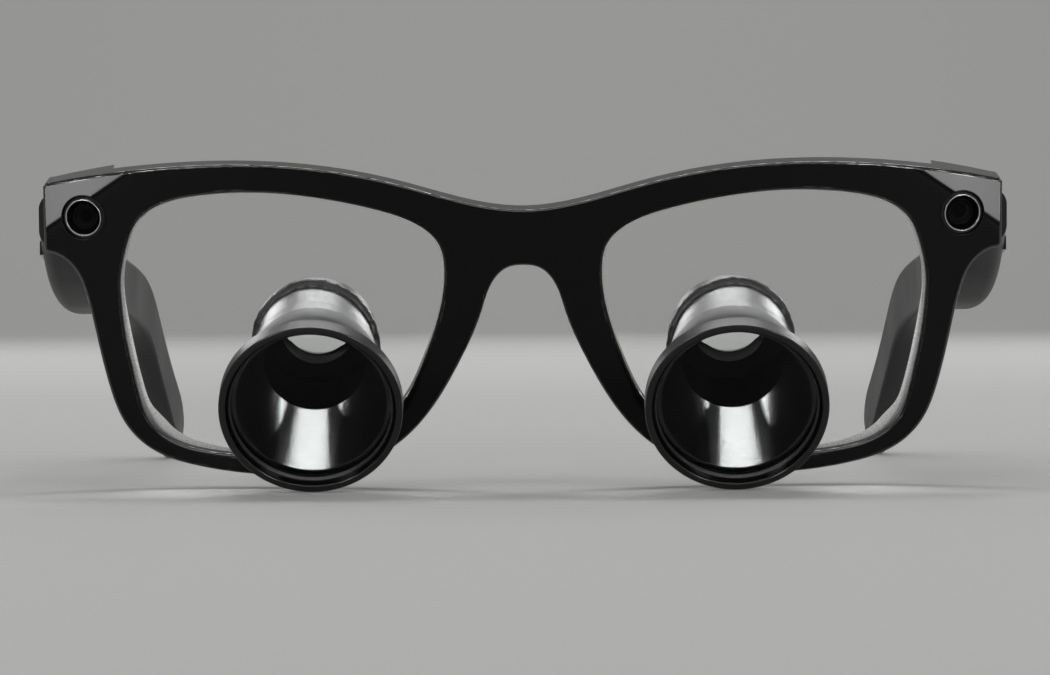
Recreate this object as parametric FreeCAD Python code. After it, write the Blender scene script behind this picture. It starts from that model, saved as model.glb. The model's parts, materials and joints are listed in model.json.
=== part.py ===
import FreeCAD, Part
import math
import os

from FreeCAD import Placement, Rotation, Vector

# Loupe glasses with two telescopes, cameras in the endpieces and electronics in the temples.
# Lengths are millimetres. Left and right are the wearer's: the wearer looks along -Y, left is +X.
# The front is drawn in its own frame, u sideways, w backward and v upward, and then leans forward.

# Front
front_width = 148.8
front_height = 48.6
front_curve_radius = 320.0
front_thickness = 4.6
endpiece_depth = 7.669778
endpiece_width = 10.6
endpiece_foot_share = 0.152
endpiece_corner = 3.0
front_edge_round = 0.5
opening_edge_round = 0.6
back_edge_round = 0.5

# Outline of one half, as shares of the half width and of the height
brow_shares = [(0.000, 0.370), (0.091, 0.385), (0.256, 0.451), (0.421, 0.497),
               (0.587, 0.510), (0.754, 0.496), (0.924, 0.458), (0.985, 0.438)]
side_top_share = (1.000, 0.420)
side_foot_share = (1.000, 0.232)
under_shares = [(0.985, 0.211), (0.961, 0.196), (0.934, 0.156), (0.916, 0.094), (0.892, -0.062),
                (0.868, -0.217), (0.838, -0.333), (0.792, -0.408), (0.676, -0.471), (0.551, -0.492),
                (0.417, -0.481), (0.329, -0.444), (0.264, -0.387), (0.191, -0.269), (0.131, -0.113),
                (0.087, 0.042), (0.061, 0.145), (0.032, 0.185), (0.000, 0.193)]
opening_shares = [(0.840, 0.103), (0.834, -0.019), (0.810, -0.213), (0.786, -0.321), (0.741, -0.383),
                  (0.661, -0.419), (0.551, -0.430), (0.417, -0.409), (0.316, -0.342), (0.245, -0.231),
                  (0.198, -0.075), (0.171, 0.062), (0.163, 0.170), (0.176, 0.263), (0.218, 0.321),
                  (0.296, 0.366), (0.420, 0.404), (0.544, 0.420), (0.670, 0.408), (0.755, 0.374),
                  (0.804, 0.315), (0.829, 0.218)]

# Moulded nose pads
pad_side_share = 0.152
pad_height_share = -0.041
pad_reach = 4.4
pad_half_width = 2.4
pad_half_height = 6.6
pad_splay_angle = 22.0

# Carrier lenses
lens_centre_share = 0.501
lens_curve_radius = 260.0
lens_inset = 1.1
lens_thickness = 1.8
groove_depth = 0.9
groove_clearance = 0.06

# Telescopes
telescope_side_share = 0.4315
telescope_height_share = -0.072
telescope_dip_angle = 15.4
hood_length = 22.2
hood_radius = 13.9
hood_band = 3.4
hood_step = 0.5
cone_foot = 7.0
cone_foot_radius = 9.9
neck_foot = 4.4
neck_radius = 9.2
tail_length = 5.6
hood_wall = 1.0
objective_depth = 1.6
objective_bore_radius = 12.5
ring_thickness = 0.8
ring_width = 0.5
objective_edge = 1.2
objective_crown_radius = 120.0
objective_flat = 0.1
barrel_wall = 1.2
seat_clearance = 0.05
eyepiece_bore_radius = 5.6
eyepiece_thickness = 2.2
eyepiece_hollow_radius = 16.0
eyepiece_ring_thickness = 1.0
eyepiece_ring_width = 1.3
baffle_wall = 0.7
bead_width = 1.3
bead_height = 1.1

# Cameras
camera_inset = 6.3
camera_height_share = 0.329
camera_recess_radius = 3.6
camera_recess_depth = 1.1
bezel_proud = 0.15
bezel_wall = 0.75
bezel_groove_depth = 0.35
window_thickness = 0.6
window_radius = 2.6
camera_bore_radius = 2.9
camera_bore_depth = 5.6
camera_barrel_radius = 2.1
camera_barrel_length = 3.0
camera_board_half = 1.9
camera_board_thickness = 0.8

# Temples, drawn in a frame of their own: n outward, s backward, h upward
temple_outset = 1.3
temple_height_share = 0.261
temple_dip_angle = 16.8
temple_gap = 0.15
temple_length = 92.0
temple_thickness = 7.0
ear_bend_radius = 30.0
ear_bend_angle = 40.0
ear_length = 25.0

# Stations along a temple: share of its length, top, bottom, outer face, thickness,
# the last four as shares of the temple's thickness
temple_station_shares = [(-0.043, 0.81, -0.37, 0.00, 1.00), (0.065, 0.81, -0.52, 0.06, 1.06),
                         (0.170, 0.81, -0.92, 0.10, 1.10), (0.300, 0.80, -1.21, 0.11, 1.11),
                         (0.450, 0.79, -1.21, 0.07, 1.07), (0.610, 0.77, -0.97, -0.03, 0.95),
                         (0.790, 0.74, -0.71, -0.20, 0.79), (1.000, 0.71, -0.71, -0.47, 0.71)]
# Stations round the bend and along the ear tip: share of each run, half height, outer face, thickness
bend_station_shares = [(0.50, 0.73, -0.63, 0.69), (1.00, 0.76, -0.80, 0.66)]
ear_station_shares = [(0.55, 0.82, -1.08, 0.63), (0.85, 0.76, -1.23, 0.60), (1.00, 0.46, -1.31, 0.46)]
outer_corner_share = 0.34
inner_corner_share = 0.18

# Hollow for the electronics and its cover
hollow_start = 15.0
hollow_end = 58.0
hollow_top = 3.4
hollow_bottom = -5.4
outer_wall = 1.5
cover_thickness = 1.0
cover_lip = 1.1
cover_corner = 1.2
cover_clearance = 0.08
cover_screw_radius = 0.8
cover_screw_head = 0.7
cover_screw_length = 2.6
battery_length = 22.0
battery_height = 7.0
battery_thickness = 3.0
board_length = 15.0
board_height = 7.4
board_thickness = 0.8
chip_size = 4.0
chip_thickness = 0.7
speaker_radius = 2.8
speaker_thickness = 2.0
inner_gap = 0.3

# Hinges
pin_back = 4.2
pin_inset = 1.9
pin_radius = 0.7
pin_clearance = 0.05
knuckle_radius = 1.6
knuckle_height = 2.4
knuckle_gap = 0.1
knuckle_middle = 1.0
leaf_thickness = 0.9
leaf_length = 8.0
leaf_width = 6.6
front_leaf_width = 3.6
front_leaf_height = 8.8
screw_head_radius = 1.25
screw_head_height = 0.6
screw_slot = 0.3

# Trim bars, button, switch and charging contacts
bar_start = 8.0
bar_length = 7.0
bar_upper_height = 1.7
bar_lower_height = 2.2
bar_upper_place = 2.2
bar_lower_place = -0.6
bar_proud = 0.4
bar_sink = 0.6
button_place = 24.0
button_length = 9.0
button_width = 2.8
button_proud = 0.7
button_travel = 0.5
button_depth = 2.4
button_clearance = 0.1
button_across_share = 0.6
button_round_share = 0.98
switch_place = 64.0
switch_length = 4.0
switch_height = 2.0
switch_travel = 2.0
switch_depth = 1.3
switch_proud = 0.6
switch_clearance = 0.1
contact_radius = 0.9
contact_spacing = 3.0
contact_proud = 0.1

# One overrun serves every cut, one nearness every choice of edges
over = 40.0
near = 1e-6

half_width = front_width / 2
endpiece_inner = half_width - endpiece_width
endpiece_foot = front_height * endpiece_foot_share
pad_side = half_width * pad_side_share
pad_height = front_height * pad_height_share
lens_centre = half_width * lens_centre_share
telescope_side = half_width * telescope_side_share
telescope_height = front_height * telescope_height_share
camera_side = half_width - camera_inset
camera_height = front_height * camera_height_share
camera_depth = front_curve_radius - math.sqrt(front_curve_radius ** 2 - camera_side ** 2)
joint_depth = camera_depth + endpiece_depth
temple_side = half_width + temple_outset
temple_height = front_height * temple_height_share

os.makedirs("parts", exist_ok=True)


def from_shares(shares):
    """Points of an outline of the front, from its shares."""
    return [Vector(u * half_width, 0, v * front_height) for u, v in shares]


def grown(points, distance):
    """Points of a closed outline, moved outward along its normals."""
    middle = Vector(0, 0, 0)
    for point in points:
        middle += point * (1 / len(points))
    moved = []
    for i, point in enumerate(points):
        along = points[(i + 1) % len(points)] - points[i - 1]
        normal = Vector(along.z, 0, -along.x).normalize()
        outward = normal if normal.dot(point - middle) > 0 else normal * -1
        moved.append(point + outward * distance)
    return moved


def smooth_edge(points):
    curve = Part.BSplineCurve()
    curve.interpolate(Points=points)
    return curve.toShape()


def corner_edge(start, corner, end):
    """Round corner between two edges, drawn towards the point where they would meet."""
    curve = Part.BezierCurve()
    curve.setPoles([start, corner, end])
    return curve.toShape()


def across(point):
    """The same point on the other side of the symmetry plane."""
    return Vector(-point.x, 0, point.z)


def smooth_loop(points):
    curve = Part.BSplineCurve()
    curve.interpolate(Points=points, PeriodicFlag=True)
    return Part.Wire([curve.toShape()])


def front_outline():
    """Closed outline of the whole front: brow, sides, and one edge under the rims and over the nose."""
    brow = from_shares(brow_shares)
    under = from_shares(under_shares)
    top, foot = from_shares([side_top_share, side_foot_share])
    brow_all = [across(point) for point in brow[:0:-1]] + brow
    under_all = under + [across(point) for point in under[-2::-1]]
    high = Vector(top.x, 0, brow[-1].z)
    low = Vector(foot.x, 0, under[0].z)
    edges = [
        smooth_edge(brow_all),
        corner_edge(brow[-1], high, top),
        Part.LineSegment(top, foot).toShape(),
        corner_edge(foot, low, under[0]),
        smooth_edge(under_all),
        corner_edge(across(under[0]), across(low), across(foot)),
        Part.LineSegment(across(foot), across(top)).toShape(),
        corner_edge(across(top), across(high), across(brow[-1])),
    ]
    return Part.Wire(edges)


def prism(wire, start, depth):
    face = Part.Face(wire)
    face.translate(Vector(0, start, 0))
    return face.extrude(Vector(0, depth, 0))


def upright_cylinder(radius):
    """Cylinder about the upright axis of the front's curve."""
    foot = Vector(0, front_curve_radius, -front_height - over)
    return Part.makeCylinder(radius, 2 * (front_height + over), foot, Vector(0, 0, 1))


def surface_depth(side):
    return front_curve_radius - math.sqrt(front_curve_radius ** 2 - side ** 2)


def lens_shell(clearance):
    """Shell between the two curved faces of a lens, wider by a clearance."""
    tilt = math.asin(lens_centre / front_curve_radius)
    inward = Vector(-math.sin(tilt), math.cos(tilt), 0)
    apex = Vector(lens_centre, surface_depth(lens_centre), 0) + inward * lens_inset
    centre = apex + inward * lens_curve_radius
    outer = Part.makeSphere(lens_curve_radius + clearance, centre)
    inner = Part.makeSphere(lens_curve_radius - lens_thickness - clearance, centre)
    return outer, inner


def lens_blank(growth, clearance):
    """A lens without its bore, or with clearances the seat that is cut for it."""
    outer, inner = lens_shell(clearance)
    points = grown(from_shares(opening_shares), growth)
    block = prism(smooth_loop(points), -over / 4, over)
    return block.common(outer).cut(inner)


def telescope_axis():
    dip = math.radians(telescope_dip_angle)
    return Vector(0, -math.cos(dip), -math.sin(dip))


def telescope_anchor():
    """Place where a telescope's axis passes through its lens."""
    depth = surface_depth(telescope_side) + lens_inset
    return Vector(telescope_side, depth, telescope_height)


def turned(profile):
    """Solid of revolution about a telescope's axis, from points of distance forward and radius."""
    points = [Vector(radius, 0, forward) for forward, radius in profile]
    wire = Part.makePolygon(points + [points[0]])
    solid = Part.Face(wire).revolve(Vector(0, 0, 0), Vector(0, 0, 1), 360)
    return to_telescope(solid)


def to_telescope(shape):
    turn = Rotation(Vector(0, 0, 1), telescope_axis())
    shape.Placement = Placement(telescope_anchor(), turn)
    return shape


def endpiece_block():
    """Region behind the plate that the thick endpiece keeps."""
    corner = Vector(endpiece_inner, -over, endpiece_foot)
    block = Part.makeBox(over, over * 2, over, corner)
    edge = [e for e in block.Edges if abs(e.BoundBox.XMax - corner.x) < near
            and abs(e.BoundBox.ZMax - corner.z) < near and e.BoundBox.YLength > over]
    return block.makeFillet(endpiece_corner, edge)


def front_blank():
    """Curved plate with thick endpieces, before its openings."""
    block = prism(front_outline(), -over / 4, over / 4 + joint_depth)
    block = block.common(upright_cylinder(front_curve_radius))
    hollow = upright_cylinder(front_curve_radius - front_thickness)
    keep = endpiece_block()
    return block.cut(hollow.cut(keep).cut(mirrored(keep)))


def nose_pad():
    """Moulded pad on the back of the nasal rim."""
    pad = Part.makeSphere(1.0)
    shape = FreeCAD.Matrix()
    shape.scale(pad_half_width, pad_reach, pad_half_height)
    pad = pad.transformGeometry(shape)
    pad.rotate(Vector(0, 0, 0), Vector(0, 1, 0), -pad_splay_angle)
    pad.translate(Vector(pad_side, surface_depth(pad_side) + front_thickness, pad_height))
    behind = upright_cylinder(front_curve_radius - front_thickness / 2)
    return pad.common(behind)


def mirrored(shape):
    return shape.mirror(Vector(0, 0, 0), Vector(1, 0, 0))


def camera_frame():
    """Place and direction of a camera's axis, square to the front's surface."""
    tilt = math.asin(camera_side / front_curve_radius)
    place = Vector(camera_side, surface_depth(camera_side), camera_height)
    outward = Vector(math.sin(tilt), -math.cos(tilt), 0)
    return place, outward


def camera_disc(radius, start, length):
    """Disc on a camera's axis, from a depth under the surface to a greater one."""
    place, outward = camera_frame()
    return Part.makeCylinder(radius, length, place - outward * start, outward * -1)


def front_leaf_seat(clearance):
    """Block of the front hinge leaf, sunk in the back of the endpiece."""
    rise = knuckle_middle * math.tan(math.radians(temple_dip_angle))
    pin = temple_point(-temple_thickness - pin_inset, -rise, knuckle_middle)
    width = front_leaf_width + 2 * clearance
    height = front_leaf_height + 2 * clearance
    depth = leaf_thickness + clearance
    corner = Vector(pin.x - width / 2, joint_depth - depth, pin.z - height / 2)
    return Part.makeBox(width, depth, height, corner)


def front_cuts():
    """Everything that is cut from the left side of the front."""
    return [
        lens_blank(groove_depth + groove_clearance, groove_clearance),
        camera_disc(camera_recess_radius, -over / 4, over / 4 + camera_recess_depth),
        camera_disc(camera_bore_radius, 0, camera_bore_depth),
        front_leaf_seat(seat_clearance),
    ]


def curved_face(shape, radius):
    """The face of the front that lies on the upright cylinder of a radius."""
    round_faces = [face for face in shape.Faces if hasattr(face.Surface, "Radius")]
    return min(round_faces, key=lambda face: abs(face.Surface.Radius - radius))


def rounded_edges(shape, radius, size, openings):
    """Rounds the outer edge of a curved face, or the edges of its openings."""
    face = curved_face(shape, radius)
    outer = face.OuterWire
    if openings:
        edges = [edge for wire in face.Wires if not wire.isSame(outer) for edge in wire.Edges]
    else:
        edges = outer.Edges
    return shape.makeFillet(size, edges)


def front_frame():
    """Moulded front in one piece, its edges tumbled round."""
    opening = prism(smooth_loop(from_shares(opening_shares)), -over / 4, over)
    frame = front_blank().cut(opening).cut(mirrored(opening))
    frame = rounded_edges(frame, front_curve_radius, opening_edge_round, True)
    frame = rounded_edges(frame, front_curve_radius, front_edge_round, False)
    frame = rounded_edges(frame, front_curve_radius - front_thickness, back_edge_round, True)
    pad = nose_pad()
    frame = frame.fuse(pad).fuse(mirrored(pad))
    for cut in front_cuts():
        frame = frame.cut(cut).cut(mirrored(cut))
    return frame


def carrier_lens():
    lens = lens_blank(groove_depth, 0)
    bore = Part.makeCylinder(neck_radius + seat_clearance, over * 2, Vector(0, 0, -over))
    return lens.cut(to_telescope(bore))


def barrel_inner_radius(forward):
    """Radius of the barrel's tapered bore, a wall inside its cone."""
    run = (forward - cone_foot) / (hood_length - hood_band - cone_foot)
    return cone_foot_radius + run * (hood_radius - hood_step - cone_foot_radius) - barrel_wall


def objective_seat():
    """Place of the shoulder behind the objective, along the axis."""
    return hood_length - objective_depth - ring_thickness - objective_edge


def telescope_barrel():
    """Blackened housing: hood band, cone, neck through the lens and tail behind it."""
    seat = objective_seat()
    band = hood_length - hood_band
    outer = [
        (-tail_length, neck_radius), (neck_foot, neck_radius), (neck_foot, neck_radius + hood_step),
        (cone_foot, cone_foot_radius), (band, hood_radius - hood_step), (band, hood_radius),
        (hood_length, hood_radius),
    ]
    stop = -tail_length + eyepiece_ring_thickness + eyepiece_thickness
    lip = eyepiece_bore_radius - seat_clearance - eyepiece_ring_width / 2
    inner = [
        (hood_length, hood_radius - hood_wall), (hood_length - objective_depth, objective_bore_radius),
        (seat, objective_bore_radius), (seat, barrel_inner_radius(seat)),
        (cone_foot, neck_radius - barrel_wall), (stop, neck_radius - barrel_wall), (stop, lip),
        (stop - seat_clearance, lip), (stop - seat_clearance, eyepiece_bore_radius),
        (-tail_length, eyepiece_bore_radius),
    ]
    return turned(outer + inner)


def objective_ring():
    """Screwed ring that holds the objective, with a bevelled mouth."""
    radius = objective_bore_radius - seat_clearance
    back = hood_length - objective_depth - ring_thickness
    front = hood_length - objective_depth
    mouth = radius - ring_width
    return turned([(back, mouth), (front, mouth + ring_width / 2), (front, radius), (back, radius)])


def lens_cap(base, radius):
    """Spherical cap on a plane at height 0, with its base circle and its curve."""
    drop = math.sqrt(objective_crown_radius ** 2 - radius ** 2)
    ball = Part.makeSphere(objective_crown_radius, Vector(0, 0, base - drop))
    return ball.common(Part.makeCylinder(radius, objective_crown_radius, Vector(0, 0, base)))


def objective_lens():
    """Front lens, crowned on both sides inside the flat rims that the ring and the shoulder hold."""
    radius = objective_bore_radius - seat_clearance
    back = objective_seat() + seat_clearance
    front = hood_length - objective_depth - ring_thickness - seat_clearance
    disc = Part.makeCylinder(radius, front - back, Vector(0, 0, back))
    crown = lens_cap(front, radius - ring_width - objective_flat)
    belly = lens_cap(-back, baffle_mouth_radius() - objective_flat)
    belly = belly.mirror(Vector(0, 0, 0), Vector(0, 0, 1))
    return to_telescope(disc.fuse(crown).fuse(belly))


def baffle_mouth_radius():
    return barrel_inner_radius(objective_seat()) - seat_clearance - baffle_wall


def baffle_tube():
    """Matt tube that lines the cone and stops stray light."""
    seat = objective_seat()
    back = cone_foot
    start = seat - seat_clearance
    outer_front = barrel_inner_radius(seat) - seat_clearance
    outer_back = neck_radius - barrel_wall - seat_clearance
    return turned([(back, outer_back - baffle_wall), (start, baffle_mouth_radius()),
                   (start, outer_front), (back, outer_back)])


def eyepiece_lens():
    """Small hollow-ground rear lens."""
    radius = eyepiece_bore_radius - seat_clearance
    back = -tail_length + eyepiece_ring_thickness + seat_clearance
    length = eyepiece_thickness - 3 * seat_clearance
    disc = Part.makeCylinder(radius, length, Vector(0, 0, back))
    mouth = radius - eyepiece_ring_width
    sag = eyepiece_hollow_radius - math.sqrt(eyepiece_hollow_radius ** 2 - mouth ** 2)
    hollow = Part.makeSphere(eyepiece_hollow_radius, Vector(0, 0, back + sag - eyepiece_hollow_radius))
    return to_telescope(disc.cut(hollow))


def eyepiece_ring():
    radius = eyepiece_bore_radius - seat_clearance
    back = -tail_length
    front = back + eyepiece_ring_thickness
    mouth = radius - eyepiece_ring_width
    return turned([(back, mouth + eyepiece_ring_width / 2), (front, mouth),
                   (front, radius), (back, radius)])


def bonding_collar():
    """Bead between the barrel's neck and the face of the carrier lens, which it meets at a slant."""
    inner = neck_radius + seat_clearance
    blank = turned([(-over / 4, inner), (neck_foot - seat_clearance, inner),
                    (neck_foot - seat_clearance, inner + bead_width), (-over / 4, inner + bead_width)])
    outer_ball = lens_shell(seat_clearance)[0]
    front_ball = lens_shell(bead_height)[0]
    return blank.common(front_ball).cut(outer_ball)


def camera_bezel():
    """Ring round the window, with a groove in its face."""
    radius = camera_recess_radius - seat_clearance
    ring = camera_disc(radius, -bezel_proud, camera_recess_depth + bezel_proud - seat_clearance)
    ring = ring.cut(camera_disc(window_radius + seat_clearance, -over / 4, over / 2))
    outer = camera_disc(radius - bezel_wall / 3, -bezel_proud, bezel_groove_depth)
    inner = camera_disc(window_radius + bezel_wall / 3, -bezel_proud, bezel_groove_depth)
    return ring.cut(outer.cut(inner))


def camera_window():
    return camera_disc(window_radius, 0, window_thickness)


def camera_module():
    """Lens barrel on its square board, at the bottom of the bore."""
    start = camera_bore_depth - camera_board_thickness - camera_barrel_length
    barrel = camera_disc(camera_barrel_radius, start, camera_barrel_length)
    place, outward = camera_frame()
    board = Part.makeBox(2 * camera_board_half, 2 * camera_board_half, camera_board_thickness,
                         Vector(-camera_board_half, -camera_board_half, 0))
    back = camera_bore_depth - seat_clearance
    board.Placement = Placement(place - outward * back, Rotation(Vector(0, 0, 1), outward))
    return barrel.fuse(board)


def temple_point(n, s, h):
    """A point of a temple's own frame, in the front's frame."""
    dip = math.radians(temple_dip_angle)
    back = joint_depth + temple_gap + s * math.cos(dip) + h * math.sin(dip)
    up = temple_height - s * math.sin(dip) + h * math.cos(dip)
    return Vector(temple_side + n, back, up)


def to_front(shape):
    """Puts a shape drawn in a temple's frame into the front's frame."""
    shape.Placement = Placement(temple_point(0, 0, 0), Rotation(Vector(1, 0, 0), -temple_dip_angle))
    return shape


def slab(n, s, h, thickness, length, height):
    """Box in a temple's frame, from its inner, front, lower corner."""
    return Part.makeBox(thickness, length, height, Vector(n, s, h))


def section(middle, up, outer, thickness, half_height):
    """Rounded section of a temple, square to its run."""
    radius_out = thickness * outer_corner_share
    radius_in = thickness * inner_corner_share
    left = outer - thickness
    corners = [
        (outer - radius_out, half_height - radius_out, radius_out, 90),
        (left + radius_in, half_height - radius_in, radius_in, 180),
        (left + radius_in, radius_in - half_height, radius_in, 270),
        (outer - radius_out, radius_out - half_height, radius_out, 360),
    ]

    def at(n, h):
        return middle + Vector(n, 0, 0) + up * h

    arcs = []
    for n, h, radius, turn in corners:
        ends = []
        for part in (-90, -45, 0):
            angle = math.radians(turn + part)
            ends.append(at(n + radius * math.cos(angle), h + radius * math.sin(angle)))
        arcs.append(ends)
    edges = []
    for i, ends in enumerate(arcs):
        edges.append(Part.Arc(ends[0], ends[1], ends[2]).toShape())
        edges.append(Part.LineSegment(ends[2], arcs[(i + 1) % len(arcs)][0]).toShape())
    return Part.Wire(edges)


def temple_sections():
    """Sections from the front end, through the deep part and round the bend to the ear tip."""
    unit = temple_thickness
    sections = []
    for along, top, bottom, outer, thick in temple_station_shares:
        middle = Vector(0, along * temple_length, (top + bottom) / 2 * unit)
        half = (top - bottom) / 2 * unit
        sections.append(section(middle, Vector(0, 0, 1), outer * unit, thick * unit, half))
    last = temple_station_shares[-1]
    start = Vector(0, temple_length, (last[1] + last[2]) / 2 * unit)
    for share, half, outer, thick in bend_station_shares:
        turn = math.radians(share * ear_bend_angle)
        middle = start + Vector(0, math.sin(turn), math.cos(turn) - 1) * ear_bend_radius
        up = Vector(0, math.sin(turn), math.cos(turn))
        sections.append(section(middle, up, outer * unit, thick * unit, half * unit))
    turn = math.radians(ear_bend_angle)
    end = start + Vector(0, math.sin(turn), math.cos(turn) - 1) * ear_bend_radius
    run = Vector(0, math.cos(turn), -math.sin(turn))
    for share, half, outer, thick in ear_station_shares:
        middle = end + run * (share * ear_length)
        sections.append(section(middle, Vector(0, math.sin(turn), math.cos(turn)),
                                outer * unit, thick * unit, half * unit))
    return sections


def inner_face():
    return -temple_thickness


def cover_outline(clearance, start, depth):
    """Rounded plate over the hollow, on the inner side of a temple."""
    lip = cover_lip - clearance
    box = slab(start, hollow_start - lip, hollow_bottom - lip, depth,
               hollow_end - hollow_start + 2 * lip, hollow_top - hollow_bottom + 2 * lip)
    edges = [e for e in box.Edges if abs(e.BoundBox.XLength - depth) < near]
    return box.makeFillet(cover_corner, edges)


def cover_screw_places():
    inset = (cover_lip + cover_screw_radius) / 2 + cover_screw_radius
    middle = (hollow_top + hollow_bottom) / 2
    return [(hollow_start - cover_lip + inset, middle), (hollow_end + cover_lip - inset, middle)]


def screw_post(s, h):
    """Post inside the hollow that takes a cover screw."""
    floor = temple_thickness - outer_wall
    foot = Vector(inner_face() + cover_thickness, s, h)
    return Part.makeCylinder(cover_screw_radius * 2, floor, foot, Vector(1, 0, 0))


def rear_leaf_seat(clearance):
    height = leaf_length + 2 * clearance
    return slab(inner_face() - over, pin_back - knuckle_radius - clearance, -height / 2 + knuckle_middle,
                over + leaf_thickness + clearance, leaf_width + 2 * clearance, height)


def temple_shell(side):
    loft = Part.makeLoft(temple_sections(), True, False)
    loft = to_front(loft)
    butt = Part.makeBox(4 * over, over, 4 * over,
                        Vector(temple_side - 2 * over, joint_depth + temple_gap - over, -2 * over))
    shell = loft.cut(butt)
    hollow = slab(inner_face() - over, hollow_start, hollow_bottom, over + temple_thickness - outer_wall,
                  hollow_end - hollow_start, hollow_top - hollow_bottom)
    seat = cover_outline(0, inner_face() - over, over + cover_thickness)
    pocket = hollow
    for s, h in cover_screw_places():
        pocket = pocket.cut(screw_post(s, h))
    shell = shell.cut(to_front(pocket.fuse(seat)))
    for s, h in cover_screw_places():
        hole = Part.makeCylinder(cover_screw_radius / 2 + pin_clearance,
                                 cover_screw_length + seat_clearance,
                                 Vector(inner_face(), s, h), Vector(1, 0, 0))
        shell = shell.cut(to_front(hole))
    seat = rear_leaf_seat(seat_clearance)
    shell = shell.cut(to_front(seat))
    for bar in trim_bar_solids():
        shell = shell.cut(bar)
    if side == "right":
        shell = shell.cut(to_front(button_well()))
    else:
        shell = shell.cut(to_front(switch_well()))
    return shell


def temple_cover():
    plate = cover_outline(cover_clearance, inner_face(), cover_thickness - seat_clearance)
    for s, h in cover_screw_places():
        hole = Part.makeCylinder(cover_screw_radius + pin_clearance, over,
                                 Vector(inner_face() - over / 2, s, h), Vector(1, 0, 0))
        plate = plate.cut(hole)
    return plate


def cover_screws():
    screws = []
    for s, h in cover_screw_places():
        foot = Vector(inner_face() + seat_clearance, s, h)
        head = Part.makeCylinder(cover_screw_radius, cover_screw_head, foot, Vector(1, 0, 0))
        shank = Part.makeCylinder(cover_screw_radius / 2, cover_screw_length - seat_clearance, foot,
                                  Vector(1, 0, 0))
        screws.append(to_front(head.fuse(shank)))
    return Part.makeCompound(screws)


def hollow_floor():
    """Inner surface of the outer wall, that the electronics lie against."""
    return inner_face() + temple_thickness - outer_wall


def battery():
    """Flat cell at the rear of the hollow."""
    middle = (hollow_top + hollow_bottom) / 2
    s = cover_screw_places()[1][0] - 2 * cover_screw_radius - inner_gap - battery_length
    cell = slab(hollow_floor() - battery_thickness, s, middle - battery_height / 2,
                battery_thickness, battery_length, battery_height)
    edges = [e for e in cell.Edges if abs(e.BoundBox.YLength - battery_length) < near]
    return cell.makeFillet(battery_thickness / 4, edges)


def circuit_board():
    """Board with two chips at the front of the hollow."""
    middle = (hollow_top + hollow_bottom) / 2
    s = cover_screw_places()[0][0] + 2 * cover_screw_radius + inner_gap
    base = hollow_floor() - board_thickness
    board = slab(base, s, middle - board_height / 2, board_thickness, board_length, board_height)
    for place in (board_length / 4, board_length * 3 / 4):
        corner = s + place - chip_size / 2
        chip = slab(base - chip_thickness, corner, middle - chip_size / 2,
                    chip_thickness, chip_size, chip_size)
        board = board.fuse(chip)
    return board


def speaker():
    """Small round speaker on the board's rear end, facing the cover."""
    middle = (hollow_top + hollow_bottom) / 2
    s = cover_screw_places()[0][0] + 2 * cover_screw_radius + inner_gap + board_length / 2
    start = inner_face() + cover_thickness + inner_gap / 2
    return Part.makeCylinder(speaker_radius, speaker_thickness, Vector(start, s, middle),
                             Vector(1, 0, 0))


def trim_bar(s, h, height):
    return slab(-bar_sink, s, h, bar_proud + bar_sink + temple_bow(s), bar_length, height)


def temple_bow(s):
    """How far the outer face stands out beyond its front edge, near the trim bars."""
    first, second = temple_station_shares[1], temple_station_shares[2]
    run = (s / temple_length - first[0]) / (second[0] - first[0])
    return (first[3] + run * (second[3] - first[3])) * temple_thickness


def trim_bar_solids():
    upper = to_front(trim_bar(bar_start, bar_upper_place, bar_upper_height))
    lower = to_front(trim_bar(bar_start, bar_lower_place - bar_lower_height, bar_lower_height))
    return [upper, lower]


def knuckle(low, high, radius):
    return Part.makeCylinder(radius, high - low, Vector(inner_face() - pin_inset, pin_back, low))


def knuckle_levels():
    """Heights of the three knuckles: front, rear, front."""
    half = knuckle_height / 2
    middle = knuckle_middle
    lower = (middle - half - knuckle_gap - knuckle_height, middle - half - knuckle_gap)
    centre = (middle - half, middle + half)
    upper = (middle + half + knuckle_gap, middle + half + knuckle_gap + knuckle_height)
    return lower, centre, upper


def pin_bore():
    foot = Vector(inner_face() - pin_inset, pin_back, -over / 2)
    return Part.makeCylinder(pin_radius + pin_clearance, over, foot)


def hinge_front():
    """Leaf in the endpiece, with two knuckles on arms."""
    lower, centre, upper = knuckle_levels()
    arms = None
    for low, high in (lower, upper):
        arm = slab(inner_face() - pin_inset - knuckle_radius, -over / 4, low, 2 * knuckle_radius,
                   over / 4 + pin_back, high - low)
        arm = arm.fuse(knuckle(low, high, knuckle_radius))
        arms = arm if arms is None else arms.fuse(arm)
    arms = to_front(arms.cut(pin_bore()))
    reach = joint_depth - leaf_thickness / 2
    front_side = Part.makeBox(4 * over, over, 4 * over, Vector(0, reach - over, -2 * over))
    arms = arms.cut(front_side)
    return front_leaf_seat(0).fuse(arms)


def hinge_rear():
    """Leaf in the temple's inner face, with one knuckle."""
    low, high = knuckle_levels()[1]
    height = leaf_length
    leaf = slab(inner_face(), pin_back - knuckle_radius, -height / 2 + knuckle_middle, leaf_thickness,
                leaf_width, height)
    arm = slab(inner_face() - pin_inset, pin_back - knuckle_radius, low, pin_inset + leaf_thickness,
               2 * knuckle_radius, high - low)
    whole = leaf.fuse(arm).fuse(knuckle(low, high, knuckle_radius)).cut(pin_bore())
    return to_front(whole)


def hinge_screw():
    lower, centre, upper = knuckle_levels()
    pin = knuckle(lower[0], upper[1], pin_radius)
    head = knuckle(upper[1], upper[1] + screw_head_height, screw_head_radius)
    slot = slab(inner_face() - pin_inset - over / 2, pin_back - screw_slot / 2,
                upper[1] + screw_head_height / 2, over, screw_slot, screw_head_height)
    return to_front(pin.fuse(head).cut(slot))


def temple_top():
    return temple_station_shares[2][1] * temple_thickness


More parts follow.
